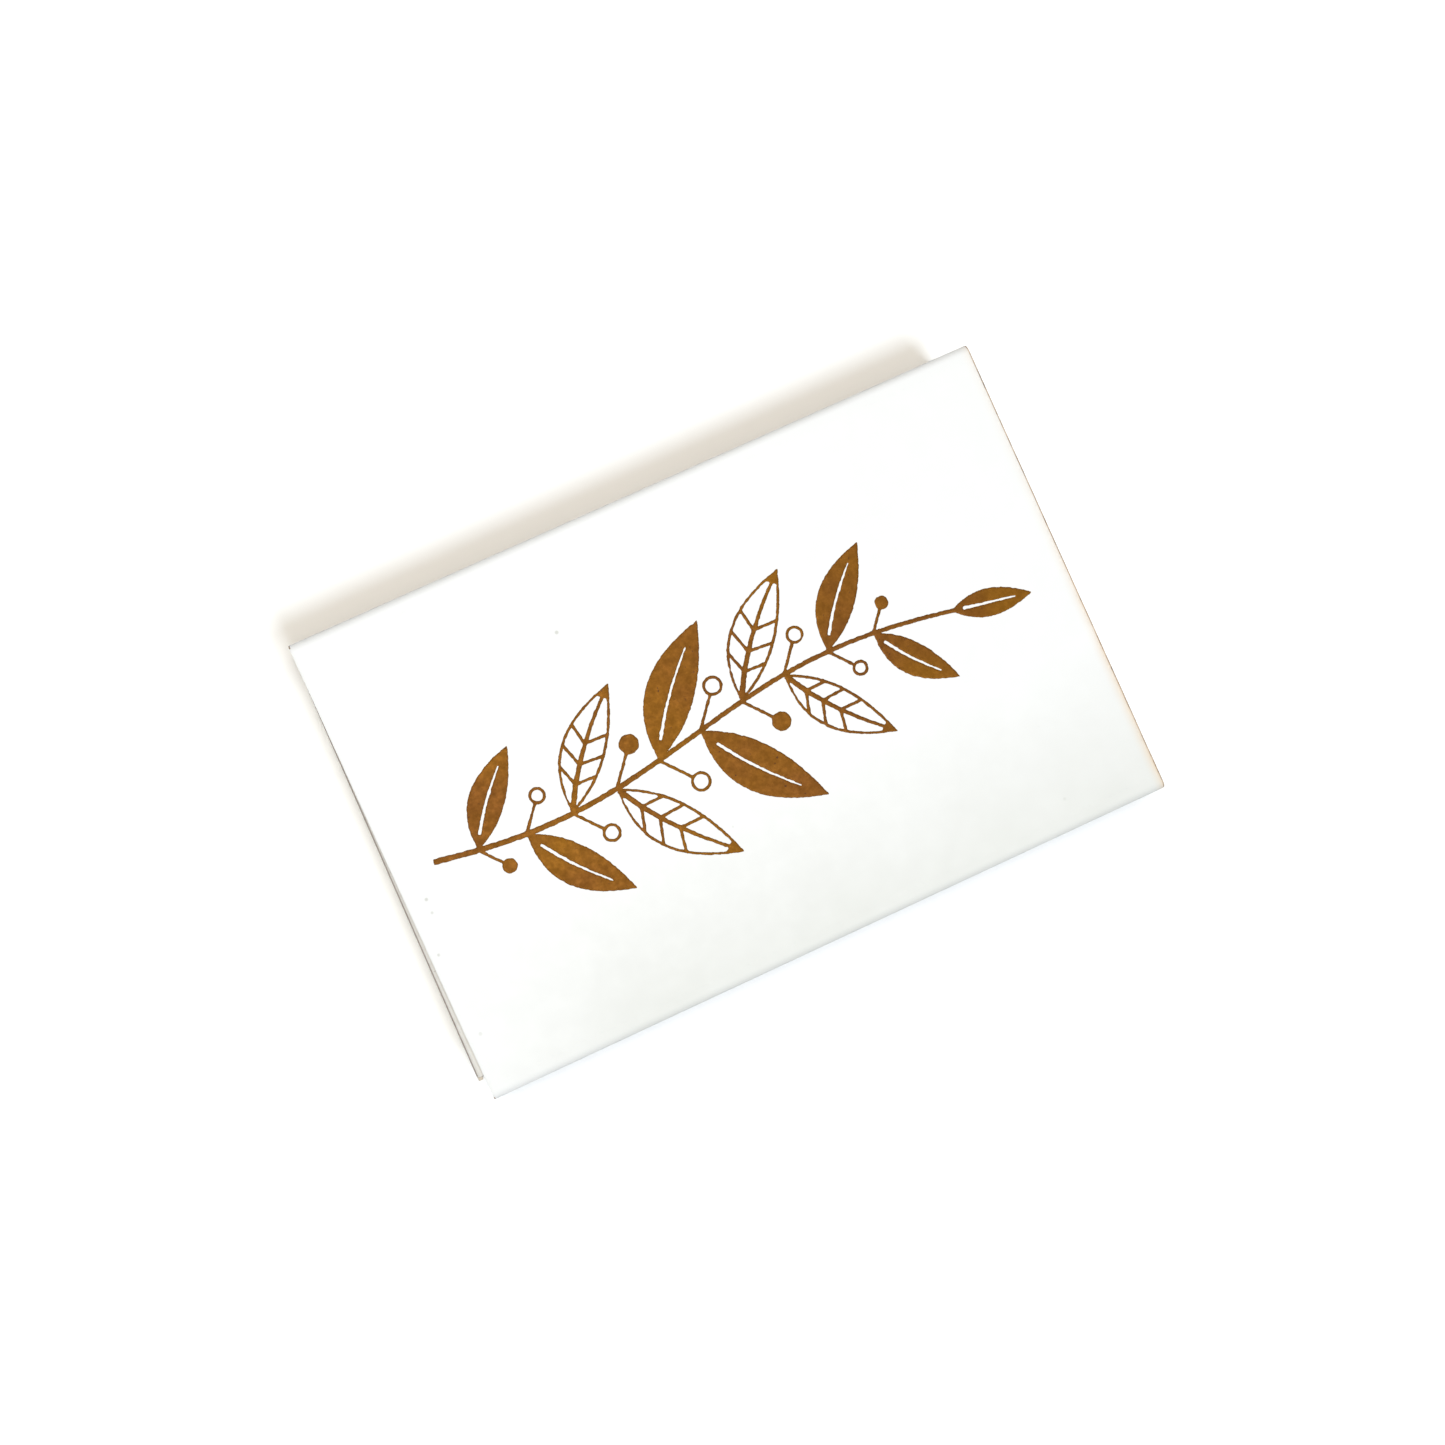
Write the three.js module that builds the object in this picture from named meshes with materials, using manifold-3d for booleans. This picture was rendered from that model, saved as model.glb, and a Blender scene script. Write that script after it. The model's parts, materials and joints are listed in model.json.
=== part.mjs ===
// A small card box of safety matches, closed, lying on its bottom panel.
// Millimetres, +Z up. X runs along the box and Y across it. The origin is the
// middle of the sleeve's bottom face.
import * as THREE from 'three';
import { mergeVertices } from 'three/addons/utils/BufferGeometryUtils.js';
import Module from 'manifold-3d';

const wasm = await Module();
wasm.setup();

// Sleeve, one strip of card folded round and glued along its back wall
const sleeveLength = 53;
const sleeveWidth = 35;
const sleeveHeight = 12;
const sleeveBoard = 0.45;
const sleeveCrease = 0.15; // inner radius of a fold
const glueFlapShortfall = 0.4; // the glue flap stops this far below the top panel

// Striking strips on both long walls
const strikerThickness = 0.06;
const strikerEndMargin = 0.5;
const strikerEdgeMargin = 1.4;

// Stamped foil sprig on the top panel
const foilThickness = 0.05;
const foilEndMargin = 3;
const foilSideMargin = 8;
const boldLine = 0.42;
const fineLine = 0.22;
const stemSway = 1.5; // how far the stem's wave goes to each side
const stemWaves = 0.9;
const stemPhase = 3.5;
const tipLeafLength = 5.6;
const leafStart = 3.2; // bare stem before the first leaf
const leafSpacing = 3.55; // along the stem, above and below in turn
const leafSpread = 0.88; // angle to the print's length, in radians
const leafSlimShare = 0.34; // width to length, at the widest point
const leafShoulderShare = 0.42;
const leafBowShare = 0.1;
const endGrowthShare = 0.55; // size at the stem's ends, as a share of that in the middle
const leafSolidBaseShare = 0.08;
const leafSolidTipShare = 0.1;
const veinShares = [0.24, 0.4, 0.56];
const veinSlantShare = 0.11;
const berryDiameter = 1.5;
const stalkLength = 2.6;

// Tray, one folded card with rolled-over ends
const trayBoard = 0.4;
const trayCrease = 0.05;
const trayPlyGap = 0.05;
const trayShortfall = 0.4; // the tray is this much shorter than the sleeve
const traySidePlay = 1.05; // all the room beside the tray in the sleeve
const traySideClearance = 0.12; // what is left of it at the corners of the skewed tray
const trayFloorClearance = 0.1;
const trayTopClearance = 0.35;
const trayTabLength = 9;
const trayCornerRelief = 0.15; // the end plies stop this far short of the long walls' faces
const cardOverrun = 0.04; // stretches of the same card run this far into each other

// Matches, all heads at one end
const splintSide = 1.9;
const headWidth = 2.7;
const headTip = 1.6; // from the widest section to the tip
const headSkirt = 2.6; // from the widest section back along the splint
const dipFilm = 0.1; // thickness of the dip where it thins out on the splint
const socketClearance = 0.04;
const matchEndRoom = 4; // all the room along the tray beyond a match's own length
const matchEndClearance = 1.1; // the least of it at either end
const matchSideRoom = 0.15; // between neighbours at their closest
const matchClearance = 0.08;
const matchLayers = 2;

// Facets
const arcSteps = 3;
const headQuarterSteps = 3; // facets in a quarter turn of a head
const leafSteps = 8;
const stemSteps = 30;

// Sizes that follow from those above
const sleeveFold = sleeveCrease + sleeveBoard;
const sleeveInnerWidth = sleeveWidth - 3 * sleeveBoard;
const sleeveInnerMiddle = -sleeveBoard / 2;
const trayFold = trayCrease + trayBoard;
const trayLength = sleeveLength - trayShortfall;
const trayWidth = sleeveInnerWidth - traySidePlay;
const trayHeight = sleeveHeight - 2 * sleeveBoard - trayFloorClearance - trayTopClearance;
const trayRoll = (3 * trayBoard + 2 * trayPlyGap) / 2; // outer radius of the rolled-over end
const trayInnerLength = trayLength - 4 * trayRoll;
const trayInnerWidth = trayWidth - 2 * trayBoard;
const traySkew = Math.asin((traySidePlay - 2 * traySideClearance) / trayLength);
const splintLength = trayInnerLength - matchEndRoom - headTip;
const matchesAcross = Math.floor(trayInnerWidth / (headWidth + matchSideRoom));
const matchPitch = trayInnerWidth / matchesAcross;
const headSides = 4 * headQuarterSteps;
const foilSpan = sleeveLength - 2 * foilEndMargin;
const stemLength = foilSpan - tipLeafLength;
const leafReach = sleeveWidth / 2 - foilSideMargin - stemSway;
const leafCount = Math.floor((stemLength - leafStart) / leafSpacing);

const material = (color, roughness, metalness = 0) =>
  new THREE.MeshStandardMaterial({ color, roughness, metalness });

function named(name, geometry, look) {
  const mesh = new THREE.Mesh(geometry, look);
  mesh.name = name;
  return mesh;
}

// Joins closed geometries into one solid
function solidOf(geometry) {
  const bare = geometry.clone();
  bare.deleteAttribute('normal');
  bare.deleteAttribute('uv');
  const welded = mergeVertices(bare, 1e-5);
  return new wasm.Manifold(new wasm.Mesh({
    numProp: 3,
    vertProperties: new Float32Array(welded.attributes.position.array),
    triVerts: new Uint32Array(welded.index.array),
  }));
}

function joined(geometries) {
  const solids = geometries.map(solidOf);
  const whole = solids.slice(1).reduce((sum, next) => sum.add(next), solids[0]);
  const mesh = whole.getMesh();
  const geometry = new THREE.BufferGeometry();
  geometry.setAttribute('position', new THREE.BufferAttribute(mesh.vertProperties, 3));
  geometry.setIndex(new THREE.BufferAttribute(mesh.triVerts, 1));
  return geometry;
}

function extruded(shape, depth) {
  return new THREE.ExtrudeGeometry(shape, { depth, bevelEnabled: false, curveSegments: arcSteps });
}

// A section drawn in (y, z), run along X
function alongX(shape, from, to) {
  const turn = new THREE.Matrix4().makeBasis(
    new THREE.Vector3(0, 1, 0),
    new THREE.Vector3(0, 0, 1),
    new THREE.Vector3(1, 0, 0),
  );
  return extruded(shape, to - from).applyMatrix4(turn).translate(from, 0, 0);
}

// A section drawn in (x, z), run along Y
function alongY(shape, from, to) {
  const turn = new THREE.Matrix4().makeBasis(
    new THREE.Vector3(1, 0, 0),
    new THREE.Vector3(0, 0, 1),
    new THREE.Vector3(0, -1, 0),
  );
  return extruded(shape, to - from).applyMatrix4(turn).translate(0, to, 0);
}

function alongZ(shape, from, to) {
  return extruded(shape, to - from).translate(0, 0, from);
}

function block(x0, x1, y0, y1, z0, z1) {
  const box = new THREE.BoxGeometry(x1 - x0, y1 - y0, z1 - z0);
  return box.translate((x0 + x1) / 2, (y0 + y1) / 2, (z0 + z1) / 2);
}

const quarter = Math.PI / 2;

// The sleeve's closed outline. Its outer back ply comes down from the top panel
// and ends where the bottom fold begins.
function sleeveOutline() {
  const side = sleeveWidth / 2;
  const glued = side - sleeveBoard;
  const r = sleeveFold;
  const top = sleeveHeight;
  const outline = new THREE.Shape();
  outline.moveTo(-side + r, 0);
  outline.lineTo(glued - r, 0);
  outline.absarc(glued - r, r, r, -quarter, 0, false);
  outline.lineTo(side, r);
  outline.lineTo(side, top - r);
  outline.absarc(side - r, top - r, r, 0, quarter, false);
  outline.lineTo(-side + r, top);
  outline.absarc(-side + r, top - r, r, quarter, 2 * quarter, false);
  outline.lineTo(-side, r);
  outline.absarc(-side + r, r, r, 2 * quarter, 3 * quarter, false);
  return outline;
}

// The space in the sleeve. The glue flap stands inside the back wall.
function sleeveSpace() {
  const r = sleeveCrease;
  const left = -sleeveWidth / 2 + sleeveBoard;
  const glued = sleeveWidth / 2 - sleeveBoard;
  const flap = glued - sleeveBoard;
  const bottom = sleeveBoard;
  const top = sleeveHeight - sleeveBoard;
  const space = new THREE.Path();
  space.moveTo(left + r, bottom);
  space.lineTo(flap - r, bottom);
  space.absarc(flap - r, bottom + r, r, -quarter, 0, false);
  space.lineTo(flap, top - glueFlapShortfall);
  space.lineTo(glued, top - glueFlapShortfall);
  space.lineTo(glued, top - r);
  space.absarc(glued - r, top - r, r, 0, quarter, false);
  space.lineTo(left + r, top);
  space.absarc(left + r, top - r, r, quarter, 2 * quarter, false);
  space.lineTo(left, bottom + r);
  space.absarc(left + r, bottom + r, r, 2 * quarter, 3 * quarter, false);
  return space;
}

function sleeve() {
  const section = sleeveOutline();
  section.holes.push(sleeveSpace());
  const geometry = alongX(section, -sleeveLength / 2, sleeveLength / 2);
  return named('sleeve', geometry, material('#f4f4f0', 0.55));
}

function striker(name, side) {
  const face = sleeveWidth / 2;
  const inner = side * face;
  const outer = side * (face + strikerThickness);
  const end = sleeveLength / 2 - strikerEndMargin;
  const low = strikerEdgeMargin;
  const high = sleeveHeight - strikerEdgeMargin;
  const geometry = block(-end, end, Math.min(inner, outer), Math.max(inner, outer), low, high);
  return named(name, geometry, material('#4a2f28', 0.95));
}

// The floor and the two long walls, as one folded section
function trayTrough() {
  const side = trayWidth / 2;
  const r = trayFold;
  const inner = side - trayBoard;
  const c = trayCrease;
  const section = new THREE.Shape();
  section.moveTo(-side, trayHeight);
  section.lineTo(-side, r);
  section.absarc(-side + r, r, r, 2 * quarter, 3 * quarter, false);
  section.lineTo(side - r, 0);
  section.absarc(side - r, r, r, -quarter, 0, false);
  section.lineTo(side, trayHeight);
  section.lineTo(inner, trayHeight);
  section.lineTo(inner, r);
  section.absarc(inner - c, r, c, 0, -quarter, true);
  section.lineTo(-inner + c, trayBoard);
  section.absarc(-inner + c, r, c, -quarter, -2 * quarter, true);
  section.lineTo(-inner, trayHeight);
  const end = trayLength / 2 - trayBoard - trayPlyGap - trayFold;
  return alongX(section, -end, end);
}

// The end wall at +X: up from the floor, over in a round roll and down inside
function trayEndStrip() {
  const end = trayLength / 2;
  const fold = end - trayFold;
  const roll = end - trayRoll;
  const rollHeight = trayHeight - trayRoll;
  const inside = end - 2 * trayRoll;
  const start = fold - trayBoard - trayPlyGap - cardOverrun;
  const foot = trayBoard + trayPlyGap;
  const strip = new THREE.Shape();
  strip.moveTo(start, 0);
  strip.lineTo(fold, 0);
  strip.absarc(fold, trayFold, trayFold, -quarter, 0, false);
  strip.lineTo(end, rollHeight);
  strip.absarc(roll, rollHeight, trayRoll, 0, 2 * quarter, false);
  strip.lineTo(inside, foot);
  strip.lineTo(inside + trayBoard, foot);
  strip.lineTo(inside + trayBoard, rollHeight);
  strip.absarc(roll, rollHeight, trayRoll - trayBoard, 2 * quarter, 0, true);
  strip.lineTo(end - trayBoard, trayFold);
  strip.absarc(fold, trayFold, trayCrease, 0, -quarter, true);
  strip.lineTo(start, trayBoard);
  const reach = trayWidth / 2 - trayBoard - trayPlyGap;
  return alongY(strip, -reach, reach);
}

// The end wall's outer ply covers the folded corners as well
function trayEndPly() {
  const end = trayLength / 2;
  const reach = trayWidth / 2 - trayCornerRelief;
  return block(end - trayBoard, end, -reach, reach, trayFold, trayHeight - trayRoll);
}

// A corner tab at +X, folded in from the long wall between the end plies. side
// is 1 for the wall at +Y and -1 for the one at -Y.
function trayTab(side) {
  const face = trayLength / 2 - trayBoard - trayPlyGap;
  const wall = trayWidth / 2;
  const r = trayFold;
  const c = trayCrease;
  const start = face - r - cardOverrun;
  const from = side * quarter;
  const tab = new THREE.Shape();
  tab.moveTo(start, side * wall);
  tab.lineTo(start, side * (wall - trayBoard));
  tab.lineTo(face - r, side * (wall - trayBoard));
  tab.absarc(face - r, side * (wall - r), c, from, 0, side > 0);
  tab.lineTo(face - trayBoard, side * (wall - trayTabLength));
  tab.lineTo(face, side * (wall - trayTabLength));
  tab.lineTo(face, side * (wall - r));
  tab.absarc(face - r, side * (wall - r), r, 0, from, side < 0);
  return alongZ(tab, trayFold + trayPlyGap, trayHeight - trayRoll - trayPlyGap);
}

function tray() {
  const atEnd = [trayEndStrip(), trayEndPly(), trayTab(1), trayTab(-1)];
  const otherEnd = atEnd.map((piece) => piece.clone().rotateZ(Math.PI));
  const geometry = joined([trayTrough(), ...atEnd, ...otherEnd]);
  return named('tray', geometry, material('#e9e4da', 0.8));
}

// One turn round a match head: half the width on the flats, and from 0, round,
// to 1, square
function headRing(x, half, squareness) {
  const points = [];
  for (let i = 0; i < headSides; i += 1) {
    const a = quarter / 2 + (2 * Math.PI * i) / headSides;
    const flat = half / Math.max(Math.abs(Math.cos(a)), Math.abs(Math.sin(a)));
    const reach = half + (flat - half) * squareness;
    points.push([x, reach * Math.cos(a), reach * Math.sin(a)]);
  }
  return points;
}

// The rings run over the outside from the skirt to the tip, and the socket's
// rings come last, from its mouth to its end
function headRings() {
  const socket = splintSide / 2 + socketClearance;
  const skirt = socket + dipFilm;
  const half = headWidth / 2;
  const outside = [
    headRing(-headSkirt, skirt, 0.9),
    headRing(-headSkirt * 0.6, skirt + (half - skirt) * 0.7, 0.7),
    headRing(0, half, 0.45),
    headRing(headTip * 0.55, half * 0.84, 0.25),
    headRing(headTip * 0.87, half * 0.5, 0.1),
  ];
  const inside = [
    headRing(-headSkirt, socket, 1),
    headRing(socketClearance, socket, 1),
  ];
  return { outside, inside };
}

function headGeometry() {
  const { outside, inside } = headRings();
  const rings = [inside[1], inside[0], ...outside];
  const vertices = rings.flat();
  const last = vertices.length;
  vertices.push([socketClearance, 0, 0], [headTip, 0, 0]);
  const faces = [];
  for (let ring = 0; ring < rings.length - 1; ring += 1) {
    for (let i = 0; i < headSides; i += 1) {
      const a = ring * headSides + i;
      const b = ring * headSides + ((i + 1) % headSides);
      faces.push(a, b, b + headSides, a, b + headSides, a + headSides);
    }
  }
  const tip = (rings.length - 1) * headSides;
  for (let i = 0; i < headSides; i += 1) {
    const next = (i + 1) % headSides;
    faces.push(last, next, i);
    faces.push(last + 1, tip + i, tip + next);
  }
  const geometry = new THREE.BufferGeometry();
  geometry.setAttribute('position', new THREE.Float32BufferAttribute(vertices.flat(), 3));
  geometry.setIndex(faces);
  return geometry;
}

// A match lies along X, its head's widest section at the group's origin
function match(label, splintShape, headShape, woodLook, headLook) {
  const group = new THREE.Group();
  group.add(named(`${label}_splint`, splintShape, woodLook));
  group.add(named(`${label}_head`, headShape, headLook));
  return group;
}

// Each layer leans a little more, because a head is thicker than a splint
function placeMatch(group, layer, i) {
  const sway = Math.sin(2.4 * i + 1.9 * layer);
  const drift = Math.cos(1.7 * i + 0.8 * layer);
  const base = trayBoard + matchClearance;
  const headHeight = base + headWidth / 2 + layer * (headWidth + matchClearance);
  const tailHeight = base + splintSide / 2 + layer * (splintSide + matchClearance);
  const sideways = (matchPitch - splintSide - matchSideRoom) / 2;
  const stagger = matchEndRoom / 2 - matchEndClearance;
  group.position.set(
    trayInnerLength / 2 - matchEndRoom / 2 - headTip + stagger * drift,
    matchPitch * (i + 0.5) - trayInnerWidth / 2,
    headHeight,
  );
  group.rotation.order = 'ZYX';
  group.rotation.y = -Math.asin((headHeight - tailHeight) / splintLength);
  group.rotation.z = Math.asin(sideways / splintLength) * sway;
}

function matches() {
  const bundle = new THREE.Group();
  const splintShape = block(
    -splintLength, 0,
    -splintSide / 2, splintSide / 2,
    -splintSide / 2, splintSide / 2,
  );
  const headShape = headGeometry();
  for (let layer = 0; layer < matchLayers; layer += 1) {
    for (let i = 0; i < matchesAcross; i += 1) {
      const number = String(layer * matchesAcross + i + 1).padStart(2, '0');
      const wood = material('#e6cf9f', 0.75);
      const dip = material('#8f2f26', 0.85);
      const one = match(`match_${number}`, splintShape, headShape, wood, dip);
      placeMatch(one, layer, i);
      bundle.add(one);
    }
  }
  return bundle;
}

// A stroke of foil along a curve, from one width to another
function strokePoints(pointAt, steps, widthFrom, widthTo) {
  const left = [];
  const right = [];
  for (let i = 0; i <= steps; i += 1) {
    const t = i / steps;
    const along = pointAt(t + 0.01).sub(pointAt(t - 0.01)).normalize();
    const across = new THREE.Vector2(-along.y, along.x);
    const half = (widthFrom + (widthTo - widthFrom) * t) / 2;
    left.push(pointAt(t).addScaledVector(across, half));
    right.push(pointAt(t).addScaledVector(across, -half));
  }
  return [...right, ...left.reverse()];
}

function foil(points) {
  const shape = new THREE.Shape(points);
  return alongZ(shape, sleeveHeight, sleeveHeight + foilThickness);
}

function foilStroke(pointAt, steps, widthFrom, widthTo) {
  return foil(strokePoints(pointAt, steps, widthFrom, widthTo));
}

function foilLine(from, to, widthFrom, widthTo) {
  return foilStroke((t) => from.clone().lerp(to, t), 1, widthFrom, widthTo);
}

function foilWithHole(points, holePoints) {
  const shape = new THREE.Shape(points);
  shape.holes.push(new THREE.Path(holePoints));
  return alongZ(shape, sleeveHeight, sleeveHeight + foilThickness);
}

// A point of a leaf: t runs from its base to its tip, and side from -1 on one
// edge through 0 on the midrib to 1 on the other. inset draws the edge in.
function leafPoint(leaf, t, side, inset = 0) {
  const swell = 2 * t * (1 - t);
  const x = swell * leafShoulderShare * leaf.length + t * t * leaf.length;
  const y = swell * leaf.bow + side * (swell * leaf.width - inset);
  return new THREE.Vector2(x, y);
}

function leafOutline(leaf, from, to, inset) {
  const ahead = [];
  const back = [];
  for (let i = 0; i <= leafSteps; i += 1) {
    const t = from + ((to - from) * i) / leafSteps;
    ahead.push(leafPoint(leaf, t, -1, inset));
    back.unshift(leafPoint(leaf, t, 1, inset));
  }
  return inset > 0 ? [...ahead, ...back] : [...ahead, ...back.slice(1, -1)];
}

function filledLeaf(leaf) {
  const rib = (t) => leafPoint(leaf, 0.16 + 0.66 * t, 0);
  const slit = strokePoints(rib, 3, fineLine, fineLine / 2);
  return [foilWithHole(leafOutline(leaf, 0, 1, 0), slit)];
}

function outlinedLeaf(leaf) {
  const inner = leafOutline(leaf, leafSolidBaseShare, 1 - leafSolidTipShare, fineLine);
  const pieces = [foilWithHole(leafOutline(leaf, 0, 1, 0), inner)];
  const rib = (t) => leafPoint(leaf, 0.02 + 0.93 * t, 0);
  pieces.push(foilStroke(rib, 4, boldLine, fineLine));
  for (const t of veinShares) {
    for (const side of [-1, 1]) {
      const from = leafPoint(leaf, t, 0);
      const to = leafPoint(leaf, t + veinSlantShare, side, fineLine / 2);
      pieces.push(foilLine(from, to, fineLine, fineLine));
    }
  }
  return pieces;
}

function placed(geometries, at, angle) {
  return geometries.map((geometry) => geometry.rotateZ(angle).translate(at.x, at.y, 0));
}

// The sprig's stem, a slow wave that rises to both ends
function stemPoint(t) {
  const x = -foilSpan / 2 + stemLength * t;
  return new THREE.Vector2(x, stemSway * Math.sin(stemWaves * 2 * Math.PI * t + stemPhase));
}

function stemAngle(t) {
  const step = stemPoint(t + 0.01).sub(stemPoint(t - 0.01));
  return Math.atan2(step.y, step.x);
}

// Leaves and berries grow larger from both ends of the stem to its middle
function growth(t) {
  return endGrowthShare + (1 - endGrowthShare) * Math.sin(Math.PI * Math.min(1, t + 0.06));
}

function sideLeaf(t, side, filled) {
  const length = (leafReach / Math.sin(leafSpread)) * growth(t);
  const leaf = { length, width: length * leafSlimShare, bow: side * length * leafBowShare };
  const geometries = filled ? filledLeaf(leaf) : outlinedLeaf(leaf);
  return placed(geometries, stemPoint(t), side * leafSpread);
}

function ringPoints(centre, radius) {
  const steps = 2 * leafSteps;
  return Array.from({ length: steps }, (_, i) => {
    const a = (2 * Math.PI * i) / steps;
    return new THREE.Vector2(Math.cos(a), Math.sin(a)).multiplyScalar(radius).add(centre);
  });
}

function berry(t, side, filled) {
  const foot = stemPoint(t);
  const radius = (berryDiameter / 2) * growth(t);
  const direction = new THREE.Vector2(Math.cos(leafSpread), side * Math.sin(leafSpread));
  const centre = foot.clone().addScaledVector(direction, stalkLength * growth(t) + radius);
  const edge = centre.clone().addScaledVector(direction, fineLine / 2 - radius);
  const disc = ringPoints(centre, radius);
  const body = filled ? foil(disc) : foilWithHole(disc, ringPoints(centre, radius - fineLine));
  return [foilLine(foot, edge, fineLine, fineLine), body];
}

// Leaves stand above and below the stem in turn, each with a berry opposite
function foilSprig() {
  const pieces = [foilStroke(stemPoint, stemSteps, boldLine, fineLine * 1.4)];
  for (let k = 0; k < leafCount; k += 1) {
    const t = (leafStart + k * leafSpacing) / stemLength;
    const side = k % 2 === 0 ? 1 : -1;
    pieces.push(...sideLeaf(t, side, k % 4 < 2), ...berry(t, -side, k % 3 === 0));
  }
  const length = tipLeafLength + boldLine;
  const tipLeaf = { length, width: length * leafSlimShare, bow: 0 };
  pieces.push(...placed(filledLeaf(tipLeaf), stemPoint(1 - boldLine / stemLength), stemAngle(0.99)));
  return named('foil_sprig', joined(pieces), material('#9a6a3a', 0.35, 0.9));
}

// The tray lies askew, its back corner flush with the sleeve's left end
function filledTray() {
  const group = new THREE.Group();
  const flushCorner = (trayLength / 2) * Math.cos(traySkew) - (trayWidth / 2) * Math.sin(traySkew);
  group.position.set(
    -sleeveLength / 2 + flushCorner,
    sleeveInnerMiddle,
    sleeveBoard + trayFloorClearance,
  );
  group.rotation.z = -traySkew;
  group.add(tray(), matches());
  return group;
}

const boxOfMatches = new THREE.Group();
boxOfMatches.add(
  sleeve(),
  striker('striker_front', -1),
  striker('striker_back', 1),
  foilSprig(),
  filledTray(),
);

export default boxOfMatches;
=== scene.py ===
"""A small card box of safety matches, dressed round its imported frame. Metres, +Z up."""
import json
import math

import bmesh
import bpy
from mathutils import Matrix, Vector, geometry, kdtree, noise


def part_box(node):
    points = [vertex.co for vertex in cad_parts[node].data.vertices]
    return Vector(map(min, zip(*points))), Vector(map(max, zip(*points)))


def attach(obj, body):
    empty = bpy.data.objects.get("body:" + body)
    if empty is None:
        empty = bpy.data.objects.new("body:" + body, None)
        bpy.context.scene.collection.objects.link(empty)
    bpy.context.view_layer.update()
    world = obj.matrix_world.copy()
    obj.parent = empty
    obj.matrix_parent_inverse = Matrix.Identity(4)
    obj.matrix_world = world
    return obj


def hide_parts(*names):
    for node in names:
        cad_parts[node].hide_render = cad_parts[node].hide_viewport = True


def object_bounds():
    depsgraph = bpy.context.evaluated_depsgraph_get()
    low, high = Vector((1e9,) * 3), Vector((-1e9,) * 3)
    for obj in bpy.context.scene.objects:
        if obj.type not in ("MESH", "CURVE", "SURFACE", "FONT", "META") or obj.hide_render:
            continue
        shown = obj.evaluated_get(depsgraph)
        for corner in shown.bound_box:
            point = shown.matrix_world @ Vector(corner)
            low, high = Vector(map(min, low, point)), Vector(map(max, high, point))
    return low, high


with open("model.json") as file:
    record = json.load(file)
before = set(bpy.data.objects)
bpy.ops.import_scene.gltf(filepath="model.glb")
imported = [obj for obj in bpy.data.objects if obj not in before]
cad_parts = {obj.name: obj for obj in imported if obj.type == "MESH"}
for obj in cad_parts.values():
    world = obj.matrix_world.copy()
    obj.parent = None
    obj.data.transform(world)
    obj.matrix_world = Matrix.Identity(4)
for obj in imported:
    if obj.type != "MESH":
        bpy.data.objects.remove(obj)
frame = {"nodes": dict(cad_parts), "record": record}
CAD_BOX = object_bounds()
MM = 0.001

# Points nearer than this are one point, and so many digits of a metre tell points apart
SAME_PLACE = 1e-7
PLACE_DIGITS = 7

# The sleeve's card. Its cut ends wander inward by RAGGED, in waves of a slow and a quick grain.
# After the grains come how far a warm yellow-brown tint reaches in from the cut end by the heads,
# and how far painted shade reaches in from the front and from the tail end.
SLEEVE_LOW, SLEEVE_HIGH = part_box("sleeve")
SLEEVE_BOARD = 0.45 * MM
SLEEVE_CREASE = 0.15 * MM
GLUE_FLAP_SHORTFALL = 0.4 * MM
RAGGED = 0.04 * MM
RAGGED_SLOW = 3 * MM
RAGGED_QUICK = 0.5 * MM
END_TINT_REACH = 0.95 * MM
PAINTED_SHADE_REACH = 12 * MM
FACING_UP = 0.7

# The tray's card. The shoulders of its rolled ends, which are painted darker as shade, are where they
# face more than the angle SHOULDER away from straight up, yet still a little upward.
TRAY_LOW, TRAY_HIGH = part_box("tray")
TRAY_BOARD = 0.4 * MM
TRAY_CREASE = 0.05 * MM
TRAY_PLY_GAP = 0.05 * MM
TRAY_SHORTFALL = 0.4 * MM
TRAY_SIDE_PLAY = 1.05 * MM
TRAY_SIDE_CLEARANCE = 0.12 * MM
TRAY_TAB_LENGTH = 9 * MM
TRAY_CORNER_RELIEF = 0.15 * MM
CARD_OVERRUN = 0.04 * MM
WALL_LEAN = 0.12 * MM
LEAN_GRAIN = 14 * MM
SHOULDER = math.radians(55)
SHOULDER_RISE = 0.05
TRAY_LENGTH = SLEEVE_HIGH.x - SLEEVE_LOW.x - TRAY_SHORTFALL
TRAY_WIDTH = SLEEVE_HIGH.y - SLEEVE_LOW.y - 3 * SLEEVE_BOARD - TRAY_SIDE_PLAY
TRAY_HEIGHT = TRAY_HIGH.z - TRAY_LOW.z
TRAY_SKEW = math.asin((TRAY_SIDE_PLAY - 2 * TRAY_SIDE_CLEARANCE) / TRAY_LENGTH)
TRAY_MIDDLE = (TRAY_LOW + TRAY_HIGH) / 2
TRAY_PLACE = (Matrix.Translation((TRAY_MIDDLE.x, TRAY_MIDDLE.y, TRAY_LOW.z))
              @ Matrix.Rotation(-TRAY_SKEW, 4, "Z"))

# The tray's folds: their outer and middle radius, the outer radius of the roll over an end wall,
# and how far from the tray's middle the outer faces of the corner tabs stand
TRAY_FOLD = TRAY_CREASE + TRAY_BOARD
TRAY_BEND = TRAY_CREASE + TRAY_BOARD / 2
TRAY_ROLL = (3 * TRAY_BOARD + 2 * TRAY_PLY_GAP) / 2
TRAY_END_FACE = TRAY_LENGTH / 2 - TRAY_BOARD - TRAY_PLY_GAP

# How finely card is bent, in steps and in degrees, and how far its cut edges are crushed
CARD_STEP = 0.9 * MM
BEND_STEP = 11.25
RIM = 0.09 * MM
CRUSH = 0.04 * MM

# The material slots of a card; the last is painted shade on the shoulders of the tray's rolls
OUTER, INNER, CUT, PAINTED_SHADE_SLOT = range(4)

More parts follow.
